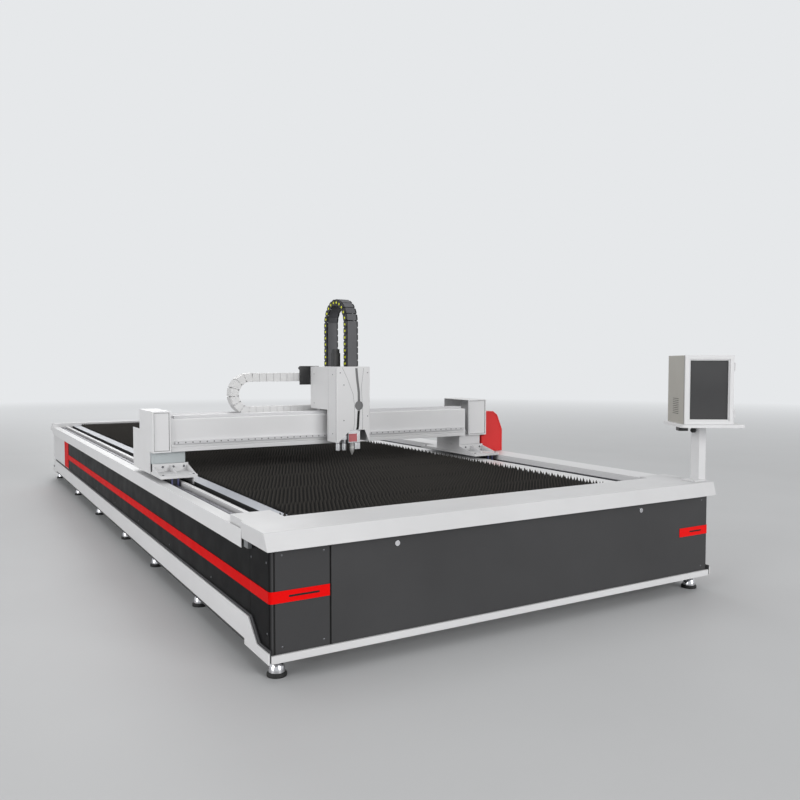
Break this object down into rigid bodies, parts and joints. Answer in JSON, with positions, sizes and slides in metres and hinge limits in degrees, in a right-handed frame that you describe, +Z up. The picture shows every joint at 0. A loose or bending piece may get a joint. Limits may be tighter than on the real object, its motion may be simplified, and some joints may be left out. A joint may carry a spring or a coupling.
{
  "type": "fiber laser cutting machine",
  "caption": "Open-bed sheet metal laser cutter: serrated slat table between raised rails, a gantry with a cutting carriage, cable chains and a swivelling control console on a post",
  "frame": {"origin": "on the floor under the middle of the whole machine's footprint, console included", "axes": "+X to the right as the operator faces the front end, +Y along the bed to its far end, +Z up"},
  "size_m": [3.3128, 7.8048, 1.9586],
  "materials": {
    "white_enamel": "white powder coat with a fine orange peel",
    "anthracite_enamel": "satin anthracite powder coat",
    "red_enamel": "bright red gloss paint",
    "frame_paint": "grey machine enamel",
    "grey_primer": "blue-grey machine enamel",
    "ground_steel": "ground steel",
    "scorched_steel": "scorched mild steel plate",
    "brass": "turned copper alloy, plated",
    "black_nylon": "moulded black nylon",
    "white_nylon": "moulded pale nylon",
    "black_motor": "black motor enamel",
    "dark_glass": "smoked acrylic pane",
    "black_plastic": "moulded black plastic",
    "beige_enamel": "warm grey powder coat"
  },
  "bodies": {
    "bed": {"side_frame_left": "frame_paint", "side_frame_right": "frame_paint", "cross_beam_1": "frame_paint", "cross_beam_2": "frame_paint", "cross_beam_3": "frame_paint", "skirt_front": "white_enamel", "skirt_rear": "white_enamel", "skirt_left": "white_enamel", "skirt_right": "white_enamel", "front_panel": "anthracite_enamel", "corner_panel": "anthracite_enamel", "side_panel_left": "anthracite_enamel", "side_panel_right": "anthracite_enamel", "rear_panel": "anthracite_enamel", "stripe_left": "red_enamel", "stripe_right": "red_enamel", "corner_band": "red_enamel", "front_band_right": "red_enamel", "front_deck": "white_enamel", "rear_deck": "white_enamel", "rail_cover_left": "white_enamel", "rail_cover_right": "white_enamel", "guide_rail_left": "ground_steel", "guide_rail_right": "ground_steel", "rack_left": "ground_steel", "rack_right": "ground_steel", "slat_table": "scorched_steel", "console_post": "white_enamel"},
    "gantry": {"beam": "white_enamel", "beam_rail_top": "ground_steel", "beam_rail_bottom": "ground_steel", "beam_rack": "ground_steel", "chain_tray": "white_enamel", "foot_left": "grey_primer", "foot_right": "grey_primer", "end_cover_left": "white_enamel", "end_cover_right": "white_enamel", "guard_right": "red_enamel", "drive_left": "black_motor", "drive_right": "black_motor", "x_chain": "white_nylon"},
    "pinion_left_body": {"pinion_left": "ground_steel"},
    "pinion_right_body": {"pinion_right": "ground_steel"},
    "head": {"saddle": "frame_paint", "head_block": "frame_paint", "head_cover": "white_enamel", "z_motor": "black_motor", "chain_bracket": "black_motor", "z_chain": "black_nylon"},
    "lift": {"z_slide": "frame_paint", "laser_head": "ground_steel", "nozzle": "brass"},
    "console": {"console_tray": "white_enamel", "console_case": "beige_enamel", "console_screen": "black_plastic"},
    "door": {"console_door": "white_enamel", "console_glass": "dark_glass"},
    "knob": {"swivel_knob": "black_nylon"},
    "lock_left_body": {"lock_left": "ground_steel"},
    "lock_right_body": {"lock_right": "ground_steel"}
  },
  "joints": [
    {"name": "gantry_travel", "type": "slide", "parent": "bed", "child": "gantry", "axis": [0, 1, 0], "range_m": [-1.36, 4.64]},
    {"name": "head_travel", "type": "slide", "parent": "gantry", "child": "head", "axis": [1, 0, 0], "range_m": [-1.01, 1], "deforming": ["x_chain"]},
    {"name": "z_lift", "type": "slide", "parent": "head", "child": "lift", "axis": [0, 0, 1], "range_m": [-0.065, 0.07], "deforming": ["z_chain"]},
    {"name": "pinion_left_turn", "type": "hinge", "parent": "gantry", "child": "pinion_left_body", "pos_m": [-1.42588, -1.06759, 0.64], "axis": [0, 0, 1], "continuous": true},
    {"name": "pinion_right_turn", "type": "hinge", "parent": "gantry", "child": "pinion_right_body", "pos_m": [1.14512, -1.06759, 0.64], "axis": [0, 0, 1], "continuous": true},
    {"name": "console_turn", "type": "hinge", "parent": "bed", "child": "console", "pos_m": [1.36862, -3.62259, 1.06], "axis": [0, 0, 1], "range_deg": [-60, 120]},
    {"name": "console_door_hinge", "type": "hinge", "parent": "console", "child": "door", "pos_m": [1.4015, -3.85893, 1.2], "axis": [0, 0, 1], "range_deg": [0, 110]},
    {"name": "knob_turn", "type": "hinge", "parent": "bed", "child": "knob", "pos_m": [1.31362, -3.62259, 1.028], "axis": [1, 0, 0], "range_deg": [0, 360]},
    {"name": "lock_left_turn", "type": "hinge", "parent": "bed", "child": "lock_left_body", "pos_m": [-0.95138, -3.70229, 0.571], "axis": [0, 1, 0], "range_deg": [0, 90]},
    {"name": "lock_right_turn", "type": "hinge", "parent": "bed", "child": "lock_right_body", "pos_m": [0.75762, -3.70229, 0.571], "axis": [0, 1, 0], "range_deg": [0, 90]}
  ],
  "couplings": [
    {"joint": "pinion_left_turn", "follows": "gantry_travel", "rad_per_m": 60.606},
    {"joint": "pinion_right_turn", "follows": "gantry_travel", "rad_per_m": -60.606}
  ]
}
